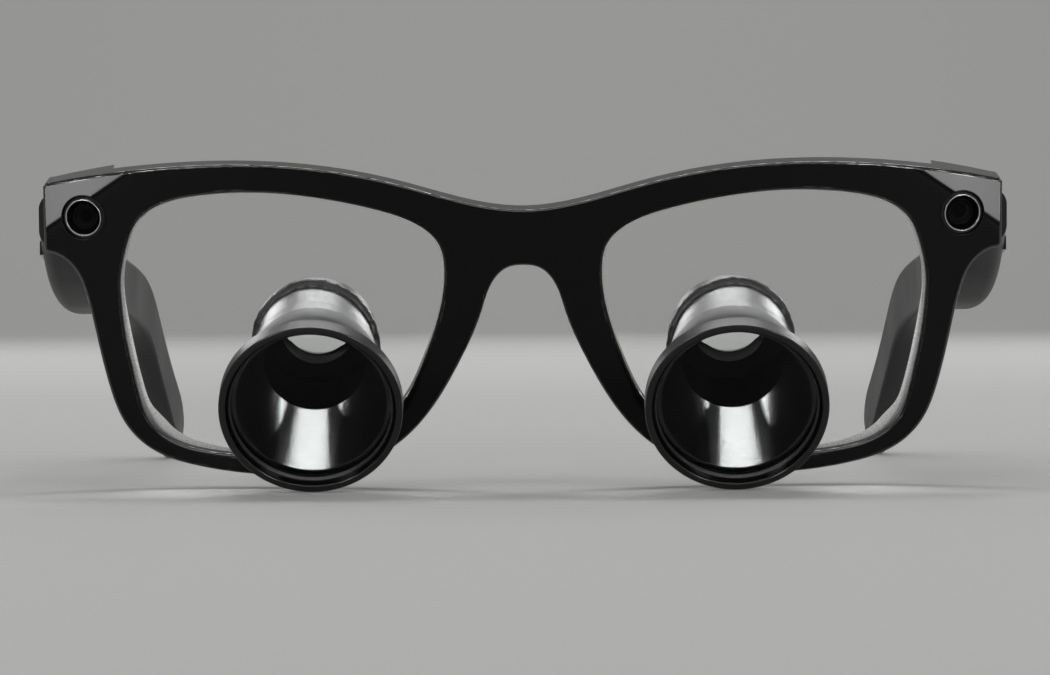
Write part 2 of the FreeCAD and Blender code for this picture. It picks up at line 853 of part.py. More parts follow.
def button_block(clearance, low, high):
    length = button_length + 2 * clearance
    width = button_width + 2 * clearance
    middle = inner_face() + temple_thickness * button_across_share
    block = slab(middle - width / 2, button_place - length / 2, low, width, length, high - low)
    edges = [e for e in block.Edges if e.BoundBox.ZLength > (high - low) / 2]
    return block.makeFillet(width / 2 * button_round_share, edges)


def button_well():
    room = button_travel + button_clearance
    floor = temple_top() + button_proud - button_depth - room
    return button_block(button_clearance, min(floor, hollow_top), temple_top() + over / 4)


def capture_button():
    """Push button in the top edge of the right temple, with a flange under the wall."""
    top = temple_top() + button_proud
    return to_front(button_block(0, top - button_depth, top))


def switch_block(clearance, depth, proud):
    length = switch_length + 2 * clearance
    height = switch_height + 2 * clearance
    return slab(inner_face() - proud, switch_place - length / 2, -height / 2, depth + proud, length, height)


def switch_well():
    travel = switch_block(switch_clearance, switch_depth + switch_clearance, over / 4)
    far = travel.copy()
    far.translate(Vector(0, switch_travel, 0))
    return travel.fuse(far)


def power_switch():
    return to_front(switch_block(0, switch_depth, switch_proud))


def charging_contacts():
    """Two plated pads in the inner cover of the right temple."""
    middle = (hollow_top + hollow_bottom) / 2
    pads = []
    for offset in (-contact_spacing / 2, contact_spacing / 2):
        s = (hollow_start + hollow_end) / 2 + offset
        foot = Vector(inner_face() - contact_proud, s, middle)
        pads.append(to_front(Part.makeCylinder(contact_radius, contact_proud + cover_thickness / 2, foot,
                                               Vector(1, 0, 0))))
    return pads


def build_left():
    """Every piece of the wearer's left half, in the front's frame."""
    pieces = {
        "carrier_lens": carrier_lens(),
        "telescope_barrel": telescope_barrel(),
        "objective_ring": objective_ring(),
        "objective_lens": objective_lens(),
        "baffle_tube": baffle_tube(),
        "eyepiece_lens": eyepiece_lens(),
        "eyepiece_ring": eyepiece_ring(),
        "bonding_collar": bonding_collar(),
        "camera_bezel": camera_bezel(),
        "camera_window": camera_window(),
        "camera_module": camera_module(),
        "hinge_front": hinge_front(),
        "hinge_rear": hinge_rear(),
        "hinge_screw": hinge_screw(),
        "temple_cover": to_front(temple_cover()),
        "cover_screws": cover_screws(),
        "battery": to_front(battery()),
        "circuit_board": to_front(circuit_board()),
        "speaker": to_front(speaker()),
        "trim_bars": Part.makeCompound(trim_bar_solids()),
    }
    return pieces


def all_pieces():
    pieces = {"front_frame": front_frame()}
    for name, shape in build_left().items():
        pieces[name + "_left"] = shape
        pieces[name + "_right"] = mirrored(shape)
    pieces["temple_shell_left"] = temple_shell("left")
    pieces["temple_shell_right"] = mirrored(temple_shell("right"))
    pieces["capture_button"] = mirrored(capture_button())
    pieces["power_switch"] = power_switch()
    pads = [mirrored(pad) for pad in charging_contacts()]
    cover = pieces["temple_cover_right"]
    for pad in pads:
        cover = cover.cut(pad)
    pieces["temple_cover_right"] = cover
    pieces["charging_contacts"] = Part.makeCompound(pads)
    return pieces


def lowest(shape, lean):
    turned_shape = shape.copy()
    turned_shape.rotate(Vector(0, 0, 0), Vector(1, 0, 0), lean)
    return turned_shape.optimalBoundingBox(False).ZMin


def standing_lean(barrel, temple):
    """Lean at which the barrels' rims and the ear tips touch the table together."""
    reach = temple.BoundBox.YMax - barrel.BoundBox.YMin
    lean = 0.0
    for _ in range(5):
        step = lowest(barrel, lean) - lowest(temple, lean)
        lean += math.degrees(math.atan2(step, reach))
    return lean


pieces = all_pieces()
lean = standing_lean(pieces["telescope_barrel_left"], pieces["temple_shell_left"])
for shape in pieces.values():
    shape.rotate(Vector(0, 0, 0), Vector(1, 0, 0), lean)
whole = FreeCAD.BoundBox()
for shape in pieces.values():
    whole.add(shape.optimalBoundingBox(False))
shift = Vector(0, -(whole.YMin + whole.YMax) / 2, -whole.ZMin)
for name, shape in pieces.items():
    shape.translate(shift)
    shape.exportStep("parts/" + name + ".step")


def placed(point):
    """A point or direction of the front's frame, in the part's frame."""
    return Rotation(Vector(1, 0, 0), lean).multVec(point) + shift


def directed(direction):
    return Rotation(Vector(1, 0, 0), lean).multVec(direction)


pin = placed(temple_point(-temple_thickness - pin_inset, pin_back, knuckle_middle))
pin_axis = directed(temple_point(0, 0, 1) - temple_point(0, 0, 0))
run_axis = directed(temple_point(0, 1, 0) - temple_point(0, 0, 0))
print("lean", lean, "shift", shift, "box", whole)
print("hinge pin", pin, "axis", pin_axis, "temple run", run_axis)
print("hood mouth", placed(telescope_anchor() + telescope_axis() * hood_length), directed(telescope_axis()))
print("sizes", {name: (len(s.Solids), round(s.Volume, 1), s.isValid()) for name, s in pieces.items()})
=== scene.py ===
import json
import math

import bmesh
import bpy
from mathutils import Matrix, Vector, geometry, noise

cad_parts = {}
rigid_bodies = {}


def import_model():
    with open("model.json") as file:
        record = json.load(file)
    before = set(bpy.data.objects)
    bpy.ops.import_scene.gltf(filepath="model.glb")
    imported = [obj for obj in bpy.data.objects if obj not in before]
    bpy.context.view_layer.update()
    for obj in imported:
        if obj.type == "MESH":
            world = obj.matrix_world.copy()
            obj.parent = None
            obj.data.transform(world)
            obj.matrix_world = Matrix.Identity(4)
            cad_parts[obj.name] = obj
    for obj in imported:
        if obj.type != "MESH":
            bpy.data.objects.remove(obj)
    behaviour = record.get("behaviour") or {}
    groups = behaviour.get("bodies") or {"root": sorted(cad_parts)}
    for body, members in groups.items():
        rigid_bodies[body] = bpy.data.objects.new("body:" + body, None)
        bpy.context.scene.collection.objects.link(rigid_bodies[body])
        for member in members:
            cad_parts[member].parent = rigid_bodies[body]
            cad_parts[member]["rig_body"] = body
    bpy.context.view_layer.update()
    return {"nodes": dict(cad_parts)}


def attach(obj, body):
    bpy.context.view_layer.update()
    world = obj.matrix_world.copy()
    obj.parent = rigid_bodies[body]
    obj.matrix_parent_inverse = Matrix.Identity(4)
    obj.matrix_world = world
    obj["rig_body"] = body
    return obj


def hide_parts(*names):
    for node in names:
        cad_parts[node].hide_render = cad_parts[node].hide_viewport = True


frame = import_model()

# Loupe glasses: a black acetate front with two telescopes glued into its lenses, a camera in each endpiece,
# and two temples that fold. Left and right are the wearer's, and left is +X.
# Sizes are in millimetres unless a comment says otherwise, and MM turns them to metres.
MM = 0.001
sides = (("left", 1), ("right", -1))

# How meshes are made: points closer than these distances, in metres, are one, edges past these angles, in
# degrees, stay sharp, and turned pieces have this many segments round
same_point = 1e-7
same_cad_point = 1e-6
cad_edge_angle = 32
turned_edge_angle = 30
lens_edge_angle = 9
bead_edge_angle = 60
turned_segments = 128
small_turned_segments = 64

# The front has its own frame, u sideways, w backward, v upward. It leans, and its face is curved sideways
front_origin = Vector((0, -59.597, 25.082)) * MM
front_lean = math.radians(10.154)
half_width = 74.4
front_height = 48.6
front_curve_radius = 320.0

# Tumbled upper corners of the front: each is a triangle, measured down from corner_top at the side.
# corner_run is its slope, and over corner_soft below its border the lean grows from nothing to corner_lean
corner_top = 20.2
corner_drop = 8.2
corner_run = 0.71
corner_soft = 2.5
corner_lean = math.radians(15)
corner_cuts = 8
corner_reach = 50.0

# How squarely a face of the front looks forward, from 0 to 1. From flat_facing on it belongs to the flat face,
# and between the other two it is a narrow edge face, which buffing leaves brighter
flat_facing = 0.9
edge_facing_least = 0.25
edge_facing_most = 0.96

# Carrier lenses: their curve, the edge hidden in the groove, the spacing of the mesh's points, the ground bevel,
# which is widest towards lens_highlight_corner, where its white is a painted highlight, and fades away from it,
# and the bore for the telescope
lens_centre = 37.3
lens_curve_radius = 260.0
lens_inset = 1.1
lens_thickness = 1.8
lens_hidden_edge = 0.8
lens_spacing = 2.4
lens_bevel_least = 0.25
lens_bevel_most = 1.9
lens_bevel_slope = 0.4
lens_highlight_corner = Vector((0.72, -0.69))
lens_bevel_fade = 5
bore_gap = 0.02
bore_points = 96

# Opening of one rim, as shares of the front's half width and of its height
opening_shares = [(0.840, 0.103), (0.834, -0.019), (0.810, -0.213), (0.786, -0.321), (0.741, -0.383),
                  (0.661, -0.419), (0.551, -0.430), (0.417, -0.409), (0.316, -0.342), (0.245, -0.231),
                  (0.198, -0.075), (0.171, 0.062), (0.163, 0.170), (0.176, 0.263), (0.218, 0.321),
                  (0.296, 0.366), (0.420, 0.404), (0.544, 0.420), (0.670, 0.408), (0.755, 0.374),
                  (0.804, 0.315), (0.829, 0.218)]

# Telescopes. Lengths run along the axis, from the carrier lens forward, and tail_length reaches behind it.
# The neck passes through the lens, the cone widens from its foot, and the hood's plain band ends it
telescope_side = 32.1
telescope_height = -3.5
telescope_dip = math.radians(15.4)
hood_length = 22.2
hood_radius = 13.9
hood_band = 3.4
hood_step = 0.5
hood_wall = 1.0
mouth_length = 0.25
cone_foot = 7.0
cone_foot_radius = 9.9
neck_foot = 4.4
neck_radius = 9.2
tail_length = 5.6
barrel_wall = 1.2

# The objective stands on a seat in the barrel, held by a screwed ring that lies objective_depth inside the
# mouth. The baffle tube runs from that seat to the neck, and the eyepiece stands at the tail behind its own ring
objective_depth = 0.9
objective_bore_radius = 12.5
objective_edge = 1.2
objective_crown_radius = 90.0
ring_thickness = 0.8
ring_width = 0.3
objective_seat = hood_length - objective_depth - ring_thickness - objective_edge
baffle_mouth_radius = 11.39
baffle_wall = 0.7
eyepiece_bore_radius = 5.6
eyepiece_thickness = 2.2
eyepiece_ring_thickness = 1.0
eyepiece_ring_width = 0.9
eyepiece_hollow_radius = 16.0

# Clearance between seated pieces, how far a glass face stays inside its ring, and how far the mouth's lacquer
# runs past the objective's ring
fit = 0.05
glass_margin = 0.1
paint_overlap = 0.1

# Bead of epoxy round the neck. Each kind of lump is a noise: how dense it is about the neck, and how strong.
# The shifts keep the kinds and the steps of the grain apart, and bead_sides the lumps of the two sides
bead_width = 0.8
bead_height = 1.0
bead_points = 160
bead_steps = 9
bead_width_swing = 0.5
bead_broad_lumps = (4, 0.35)
bead_small_lumps = (13, 0.2)
bead_height_lumps = (9, 0.3)
bead_height_shift = (3, 1, 0)
bead_grain = (30, 0.12)
bead_grain_shift = 0.9
bead_sides = 0.7

# Cameras in the endpieces. Depths run along the window's axis, outward positive. A dark bezel and a bright
# ring hold the window, and a stepped tube with a small lens stands behind it, on the module
camera_side = 68.1
camera_height = 16.0
recess_radius = 3.6
recess_depth = 1.1
bezel_proud = 0.12
bezel_rim = 0.12
bezel_floor = -0.3
bezel_bank = 0.3
bright_ring_radius = 2.88
bright_ring_top = 0.1
bright_ring_lip = -0.05
bright_ring_foot = -0.29
bright_ring_rim = 0.14
window_radius = 2.6
window_front = -0.02
window_back = -0.6
module_front = -1.8
tube_radius = 2.0
tube_rim_radius = 1.75
tube_ledge_radii = (1.5, 1.25)
tube_bore_radius = 0.95
tube_height = 0.8
tube_step = 0.45
tube_seat = 0.2
small_lens_radius = 0.93
small_lens_edge = 0.1
small_lens_crown = 0.35
small_lens_steps = 8


# Places

def front_place(u, w, v):
    """A point of the front's own frame, in the object's frame, in metres."""
    c, s = math.cos(front_lean), math.sin(front_lean)
    return front_origin + Vector((u, w * c - v * s, w * s + v * c)) * MM


def front_spot(point):
    """Place u, v of a point, the other way round: from metres to the front's own frame."""
    c, s = math.cos(front_lean), math.sin(front_lean)
    away = (point - front_origin) / MM
    return away.x, away.z * c - away.y * s


def surface_depth(u):
    """How far back the front's curved face lies at a place to the side."""
    return front_curve_radius - math.sqrt(front_curve_radius ** 2 - u ** 2)


def beside_axis(forward, radius, angle):
    """Place u, w, v about the left telescope's axis: angle 0 is towards the temple, a quarter turn is up."""
    c, s = math.cos(telescope_dip), math.sin(telescope_dip)
    rise = radius * math.sin(angle)
    u = telescope_side + radius * math.cos(angle)
    w = surface_depth(telescope_side) + lens_inset - forward * c - rise * s
    v = telescope_height - forward * s + rise * c
    return u, w, v


def telescope_place(side, forward, radius, angle):
    """A point about a telescope's axis, in metres."""
    u, w, v = beside_axis(forward, radius, angle)
    return front_place(side * u, w, v)


def camera_place(side, outward, radius, angle):
    """A point about the axis of the window in an endpiece, square to the front's face, in metres."""
    tilt = math.asin(camera_side / front_curve_radius)
    across = radius * math.cos(angle)
    u = camera_side + outward * math.sin(tilt) + across * math.cos(tilt)
    w = surface_depth(camera_side) - outward * math.cos(tilt) + across * math.sin(tilt)
    return front_place(side * u, w, camera_height + radius * math.sin(angle))


# Meshes

def weighted_normals(mesh, limit):
    """Smooth shading with the normals of large faces kept, and edges past the limit left sharp."""
    bm = bmesh.new()
    bm.from_mesh(mesh)
    bm.faces.ensure_lookup_table()
    areas = [face.calc_area() for face in bm.faces]
    shades = [None] * len(mesh.loops)
    border = math.cos(math.radians(limit))
    for vert in bm.verts:
        loops = [(loop, loop.face.normal, areas[loop.face.index] * loop.calc_angle())
                 for loop in vert.link_loops]
        for loop, normal, _ in loops:
            total = Vector()
            for _, other, weight in loops:
                if normal.dot(other) > border:
                    total += other * weight
            shades[loop.index] = total.normalized() if total.length > 0 else normal
    bm.free()
    for polygon in mesh.polygons:
        polygon.use_smooth = True
    mesh.normals_split_custom_set(shades)


def mesh_from(name, points, faces, uvs=None, finishes=None):
    """Mesh with its doubles merged and faces outward. finishes gives each face its material's number."""
    mesh = bpy.data.meshes.new(name)
    mesh.from_pydata([tuple(p) for p in points], [], faces)
    if finishes:
        mesh.polygons.foreach_set("material_index", finishes)
    if uvs:
        layer = mesh.uv_layers.new(name="turned")
        for corner, uv in zip(layer.data, uvs):
            corner.uv = uv
    bm = bmesh.new()
    bm.from_mesh(mesh)
    bmesh.ops.remove_doubles(bm, verts=bm.verts, dist=same_point)
    bmesh.ops.recalc_face_normals(bm, faces=bm.faces)
    bm.to_mesh(mesh)
    bm.free()
    return mesh


def add_piece(mesh, materials, body, replaced, limit):
    """A visible piece of the mesh's name, that rides on a body and stands for the nodes that it replaces."""
    weighted_normals(mesh, limit)
    piece = bpy.data.objects.new(mesh.name, mesh)
    bpy.context.scene.collection.objects.link(piece)
    for material in materials:
        mesh.materials.append(material)
    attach(piece, body)
    if replaced:
        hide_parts(*replaced)
    return piece


def copied(node, materials, name=None):
    """The CAD node's shape with its doubles merged and shaded smooth, in place of the node."""
    source = frame["nodes"][node]
    bm = bmesh.new()
    bm.from_mesh(source.data)
    bmesh.ops.remove_doubles(bm, verts=bm.verts, dist=same_cad_point)
    bmesh.ops.dissolve_degenerate(bm, dist=same_point, edges=bm.edges)
    mesh = bpy.data.meshes.new(name or node + "_shape")
    bm.to_mesh(mesh)
    bm.free()
    return add_piece(mesh, materials, source["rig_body"], [node], cad_edge_angle)


def rounded(corners, steps=4):
    """Closed profile with its corners turned to arcs. A corner is (forward, radius, rounding)."""
    most = 0.48  # An arc takes less than half of the shorter run beside it
    points = []
    for i, (along, radius, size) in enumerate(corners):
        here = Vector((along, radius))
        if not size:
            points.append(here)
            continue
        before = Vector(corners[i - 1][:2]) - here
        after = Vector(corners[(i + 1) % len(corners)][:2]) - here
        back = min(size / math.tan(before.angle(after) / 2), before.length * most, after.length * most)
        start, end = here + before.normalized() * back, here + after.normalized() * back
        for k in range(steps + 1):
            t = k / steps
            points.append(start * (1 - t) ** 2 + here * (2 * t * (1 - t)) + end * t ** 2)
    return points


def spun(name, profile, place, segments):
    """Closed profile turned about an axis, with a UV map of turn and length along the profile.

    Faces round the front end take the second material, and those of the bore behind it the third."""
    points, faces, uvs, finishes = [], [], [], []
    end = max(point[0] for point in profile)
    mouth = next(i for i, point in enumerate(profile) if point[0] > end - mouth_length)
    lacquer_end = end - objective_depth - paint_overlap
    count = len(profile)
    lengths = [0.0]
    for i in range(count):
        lengths.append(lengths[-1] + (Vector(profile[(i + 1) % count]) - Vector(profile[i])).length)
    for j in range(segments):
        angle = 2 * math.pi * j / segments
        points.extend(place(along, radius, angle) for along, radius in profile)
    for j in range(segments):
        a, b = j * count, (j + 1) % segments * count
        for i in range(count):
            k = (i + 1) % count
            faces.append((a + i, a + k, b + k, b + i))
            finishes.append(0 if i < mouth else 1 if profile[k][0] > lacquer_end else 2)
            uvs += [(j / segments, lengths[i]), (j / segments, lengths[i + 1]),
                    ((j + 1) / segments, lengths[i + 1]), ((j + 1) / segments, lengths[i])]
    return mesh_from(name, points, faces, uvs, finishes)


# Shading of the front and of the baffles

def corner_share(u, v):
    """How far a place of the front lies into the tumbled upper corner, from 0 to 1."""
    along = half_width - abs(u)
    down = corner_top - v
    share = (corner_drop - along * corner_run - down) / corner_soft
    return min(1.0, max(0.0, share))


def tumbled_corners(mesh):
    """Leans the shading of the front's upper outer corners back a little, where they were tumbled.

    The flat face is cut parallel to the corner's border, so that the lean ends in a straight line. The narrow
    edge faces of the front take the second material."""
    forward = Vector((0, -math.cos(front_lean), -math.sin(front_lean)))
    up = Vector((0, -math.sin(front_lean), math.cos(front_lean)))
    across = Vector((1, 0, 0))
    bm = bmesh.new()
    bm.from_mesh(mesh)
    cuts = [(up + across * side * corner_run,
             front_place(side * half_width, 0, corner_top - corner_drop + corner_soft * step / corner_cuts))
            for _, side in sides for step in range(corner_cuts + 1)]
    for normal, spot in cuts:
        near = [face for face in bm.faces if face.normal.dot(forward) > flat_facing
                and any(corner_share(*front_spot(vert.co)) > 0 or abs(vert.co.x) > corner_reach * MM
                        for vert in face.verts)]
        edges = {edge for face in near for edge in face.edges}
        verts = {vert for face in near for vert in face.verts}
        bmesh.ops.bisect_plane(bm, geom=near + list(edges) + list(verts), plane_co=spot, plane_no=normal,
                               dist=same_point)
    bm.to_mesh(mesh)
    bm.free()
    weighted_normals(mesh, cad_edge_angle)
    shades = []
    for polygon in mesh.polygons:
        facing = polygon.normal.dot(forward)
        for corner in polygon.loop_indices:
            shade = mesh.corner_normals[corner].vector.copy()
            if facing > flat_facing:
                share = corner_share(*front_spot(mesh.vertices[mesh.loops[corner].vertex_index].co))
                shade = Matrix.Rotation(-corner_lean * share, 3, across) @ shade
            shades.append(shade)
        polygon.material_index = 1 if edge_facing_least < facing < edge_facing_most else 0
    mesh.normals_split_custom_set(shades)


def stepped_bore(mesh, place):
    """Shades the inner wall of the baffle as the treads of its turned steps, which are too fine to model."""
    middle = place(0, 0, 0)
    axis = (place(1, 0, 0) - middle).normalized()
    wall_facing = 0.7
    shades = []
    for polygon in mesh.polygons:
        for corner in polygon.loop_indices:
            spot = mesh.vertices[mesh.loops[corner].vertex_index].co - middle
            inward = (axis * spot.dot(axis) - spot).normalized()
            is_wall = polygon.normal.dot(inward) > wall_facing
            shades.append(inward if is_wall else mesh.corner_normals[corner].vector.copy())
    mesh.normals_split_custom_set(shades)


# Flat curves and filled shapes, in places u, v of the front

def smooth_points(shares, per=8):
    """Closed smooth curve through points given as shares of the front."""
    knots = [Vector((u * half_width, v * front_height)) for u, v in shares]
    points = []
    for i in range(len(knots)):
        p0, p1, p2, p3 = (knots[(i + k) % len(knots)] for k in (-1, 0, 1, 2))
        for k in range(per):
            t = k / per
            points.append(0.5 * (2 * p1 + (p2 - p0) * t + (2 * p0 - 5 * p1 + 4 * p2 - p3) * t ** 2
                                 + (3 * p1 - p0 - 3 * p2 + p3) * t ** 3))
    return points


def outward_normals(points):
    """Unit normals of a closed curve, away from its inside."""
    area = sum(a.x * b.y - b.x * a.y for a, b in zip(points, points[1:] + points[:1]))
    turn = 1 if area > 0 else -1
    runs = [(points[(i + 1) % len(points)] - points[i - 1]).normalized() for i in range(len(points))]
    return [Vector((run.y, -run.x)) * turn for run in runs]


def offset(points, distances):
    """The closed curve moved outward, each point by its own distance."""
    return [here + normal * distance
            for here, normal, distance in zip(points, outward_normals(points), distances)]


def inside(point, loop):
    """Whether a point lies inside a closed loop."""
    found = False
    for a, b in zip(loop, loop[1:] + loop[:1]):
        if (a.y > point.y) != (b.y > point.y):
            if point.x < a.x + (point.y - a.y) / (b.y - a.y) * (b.x - a.x):
                found = not found
    return found


def reach(point, loop):
    """Distance from a point to the nearest point of a loop."""
    return min((point - other).length for other in loop)


def filled(loops, edge, hole, spacing):
    """Points and triangles of the region inside edge and outside hole, with every loop kept as a line."""
    clearance = spacing * 0.6
    points, lines = [], []
    for loop in loops:
        first = len(points)
        points += loop
        lines += [(first + i, first + (i + 1) % len(loop)) for i in range(len(loop))]
    low_x, high_x = min(p.x for p in edge), max(p.x for p in edge)
    low_y, high_y = min(p.y for p in edge), max(p.y for p in edge)
    every = [p for loop in loops for p in loop]
    for i in range(int((high_x - low_x) / spacing) + 1):
        for j in range(int((high_y - low_y) / spacing) + 1):
            point = Vector((low_x + (i + 0.5 * (j % 2)) * spacing, low_y + j * spacing))
            if inside(point, edge) and not inside(point, hole) and reach(point, every) > clearance:
                points.append(point)
    joined_points = 1e-6
    result = geometry.delaunay_2d_cdt(points, lines, [], 0, joined_points)
    verts, faces, origins = result[0], result[2], result[3]
    kept = []
    for face in faces:
        middle = sum((verts[i] for i in face), Vector((0, 0))) / len(face)
        if inside(middle, edge) and not inside(middle, hole):
            kept.append(tuple(face))
    return verts, kept, origins


# Lenses

def lens_surface(radius):
    """Depth of a sphere of the lens, for a place u, v of the front."""
    tilt = math.asin(lens_centre / front_curve_radius)
    inward = Vector((-math.sin(tilt), math.cos(tilt)))
    apex = Vector((lens_centre, surface_depth(lens_centre))) + inward * lens_inset
    centre = apex + inward * lens_curve_radius

    def depth(u, v):
        return centre.y - math.sqrt(radius ** 2 - (u - centre.x) ** 2 - v ** 2)
    return depth


def lens_crossing(depth, radius, angle):
    """How far forward a line beside the telescope's axis meets a surface of the lens, after six steps to it."""
    forward = 0.0
    for _ in range(6):
        u, w, v = beside_axis(forward, radius, angle)
        forward += (w - depth(u, v)) / math.cos(telescope_dip)
    return forward


def bore_loop(depth, radius, count):
    """Where a telescope's neck meets a surface of the lens, as places u, v."""
    loop = []
    for k in range(count):
        angle = 2 * math.pi * k / count
        u, _, v = beside_axis(lens_crossing(depth, radius, angle), radius, angle)
        loop.append(Vector((u, v)))
    return loop


def bevel_width(normal):
    """Width of the ground bevel: a crescent at the lower temporal corner, where its white is a painted highlight,
    and a thin line elsewhere.
    """
    share = max(0.0, normal.dot(lens_highlight_corner)) ** lens_bevel_fade
    return lens_bevel_least + (lens_bevel_most - lens_bevel_least) * share


def carrier_lens(side):
    """Clear lens with a hidden edge in the groove, a ground bevel that shows, and the telescope's bore."""
    outline = smooth_points(opening_shares)
    edge = offset(outline, [lens_hidden_edge] * len(outline))
    bevel = offset(outline, [-bevel_width(normal) for normal in outward_normals(outline)])
    points, faces, finishes = [], [], []
    rims = []
    for radius, is_front in ((lens_curve_radius, True), (lens_curve_radius - lens_thickness, False)):
        depth = lens_surface(radius)
        hole = bore_loop(depth, neck_radius + bore_gap, bore_points)
        loops = [edge, hole, outline, bevel] if is_front else [edge, hole]
        verts, triangles, origins = filled(loops, edge, hole, lens_spacing)
        first = len(points)
        for point in verts:
            w = depth(point.x, point.y)
            if is_front and not inside(point, bevel):
                w += lens_bevel_slope * min(reach(point, bevel), lens_bevel_most)
            points.append(front_place(side * point.x, w, point.y))
        for face in triangles:
            middle = sum((verts[i] for i in face), Vector((0, 0))) / len(face)
            finishes.append(1 if is_front and not inside(middle, bevel) else 0)
            faces.append(tuple(first + i for i in face))
        place = {old: new for new, olds in enumerate(origins) for old in olds}
        rims.append(([first + place[i] for i in range(len(edge))],
                     [first + place[len(edge) + i] for i in range(len(hole))]))
    for front_rim, back_rim in zip(*rims):
        for i in range(len(front_rim)):
            k = (i + 1) % len(front_rim)
            faces.append((front_rim[i], front_rim[k], back_rim[k], back_rim[i]))
            finishes.append(1)
    return points, faces, None, finishes


def lumps(spot, kind, shift=(0, 0, 0)):
    """Uneven change of the bead at a spot, for noise of a density and strength."""
    density, strength = kind
    return noise.noise(spot * density + Vector(shift)) * strength


def bonding_bead(side):
    """Bead of hand-laid epoxy round the neck, uneven in width and height, on the lens's front face."""
    inner = neck_radius + bore_gap
    face = lens_surface(lens_curve_radius)
    points, faces = [], []
    for j in range(bead_points):
        angle = 2 * math.pi * j / bead_points
        spot = Vector((math.cos(angle), math.sin(angle), side * bead_sides))
        uneven = lumps(spot, bead_broad_lumps) + lumps(spot, bead_small_lumps)
        width = bead_width * (1 + bead_width_swing * uneven)
        height = bead_height * (1 + lumps(spot, bead_height_lumps, bead_height_shift))
        for k in range(bead_steps + 1):
            turn = math.pi / 2 * k / bead_steps
            grain = 1 + lumps(spot, bead_grain, (0, 0, k * bead_grain_shift))
            radius = inner + width * math.sin(turn) * grain if k else inner
            lift = height * math.cos(turn) * grain if k < bead_steps else 0
            points.append(telescope_place(side, lens_crossing(face, radius, angle) + lift, radius, angle))
        points.append(telescope_place(side, lens_crossing(face, inner, angle), inner, angle))
    count = bead_steps + 2
    for j in range(bead_points):
        a, b = j * count, (j + 1) % bead_points * count
        for k in range(count):
            n = (k + 1) % count
            faces.append((a + k, a + n, b + n, b + k))
    return points, faces


# Telescopes and cameras

def barrel_bore(forward):
    """Radius of the barrel's tapered bore, a wall inside its cone."""
    run = (forward - cone_foot) / (hood_length - hood_band - cone_foot)
    return cone_foot_radius + run * (hood_radius - hood_step - cone_foot_radius) - barrel_wall


def lens_curve(base, radius, curve_radius, inward, steps=16):
    """Profile points of a spherical face, whose rim lies at base. A positive curve radius bulges forward."""
    flat = math.sqrt(curve_radius ** 2 - radius ** 2)
    points = []
    for k in range(steps + 1):
        here = radius * k / steps
        sag = math.copysign(math.sqrt(curve_radius ** 2 - here ** 2) - flat, curve_radius)
        points.append(Vector((base + sag, here)))
    return points[::-1] if inward else points


def telescope_forms():
    """Profiles of one telescope's turned pieces: name, profile, material, node and slot."""
    band = hood_length - hood_band
    stop = -tail_length + eyepiece_ring_thickness + eyepiece_thickness
    lip = eyepiece_bore_radius - fit - eyepiece_ring_width / 2
    shoulder = barrel_bore(objective_seat)
    barrel = rounded([
        (-tail_length, neck_radius, 0.35), (neck_foot, neck_radius, 0.15),
        (neck_foot, neck_radius + hood_step, 0.25), (cone_foot, cone_foot_radius, 0.6),
        (band, hood_radius - hood_step, 0.12), (band + hood_step, hood_radius, 0.3),
        (hood_length, hood_radius, 0.25), (hood_length, hood_radius - hood_wall, 0.25),
        (hood_length - objective_depth, objective_bore_radius, 0), (objective_seat, objective_bore_radius, 0),
        (objective_seat, shoulder, 0), (cone_foot, neck_radius - barrel_wall, 0),
        (stop, neck_radius - barrel_wall, 0), (stop, lip, 0), (stop - fit, lip, 0),
        (stop - fit, eyepiece_bore_radius, 0), (-tail_length, eyepiece_bore_radius, 0.2)])

    edge = objective_bore_radius - fit
    front = hood_length - objective_depth
    ring = rounded([(front - ring_thickness, edge - ring_width, 0), (front, edge - ring_width / 2, 0.12),
                    (front, edge, 0), (front - ring_thickness, edge, 0)])

    glass_front = front - ring_thickness - fit
    glass_back = objective_seat + fit
    crown = lens_curve(glass_front, edge - ring_width - glass_margin, objective_crown_radius, False)
    belly = lens_curve(glass_back, baffle_mouth_radius - glass_margin, -objective_crown_radius, True)
    objective = crown + [Vector((glass_front, edge)), Vector((glass_back, edge))] + belly

    back_outer = neck_radius - barrel_wall - fit
    start = objective_seat - fit
    baffle = [Vector((cone_foot, back_outer - baffle_wall)), Vector((start, baffle_mouth_radius)),
              Vector((start, shoulder - fit)), Vector((cone_foot, back_outer))]

    small = eyepiece_bore_radius - fit
    mouth = small - eyepiece_ring_width
    small_back = -tail_length + eyepiece_ring_thickness + fit
    small_front = small_back + eyepiece_thickness - 3 * fit
    hollow = lens_curve(small_back, mouth, eyepiece_hollow_radius, True)
    eyepiece = hollow[::-1] + [Vector((small_back, small)), Vector((small_front, small)),
                               Vector((small_front, 0))]

    rear = -tail_length
    rear_ring = rounded([(rear, mouth + eyepiece_ring_width / 2, 0.15),
                         (rear + eyepiece_ring_thickness, mouth, 0),
                         (rear + eyepiece_ring_thickness, small, 0), (rear, small, 0)])
    return (("barrel_", barrel, anodised, "telescope_barrel_", "barrel_anodised"),
            ("retaining_ring_", ring, anodised, "objective_ring_", "barrel_anodised"),
            ("objective_", objective, optic_glass, "objective_lens_", "optic_glass"),
            ("baffle_", baffle, bore_lacquer, "baffle_tube_", "baffle_black"),
            ("eyepiece_", eyepiece, optic_glass, "eyepiece_lens_", "optic_glass"),
            ("rear_ring_", rear_ring, anodised, "eyepiece_ring_", "barrel_anodised"))


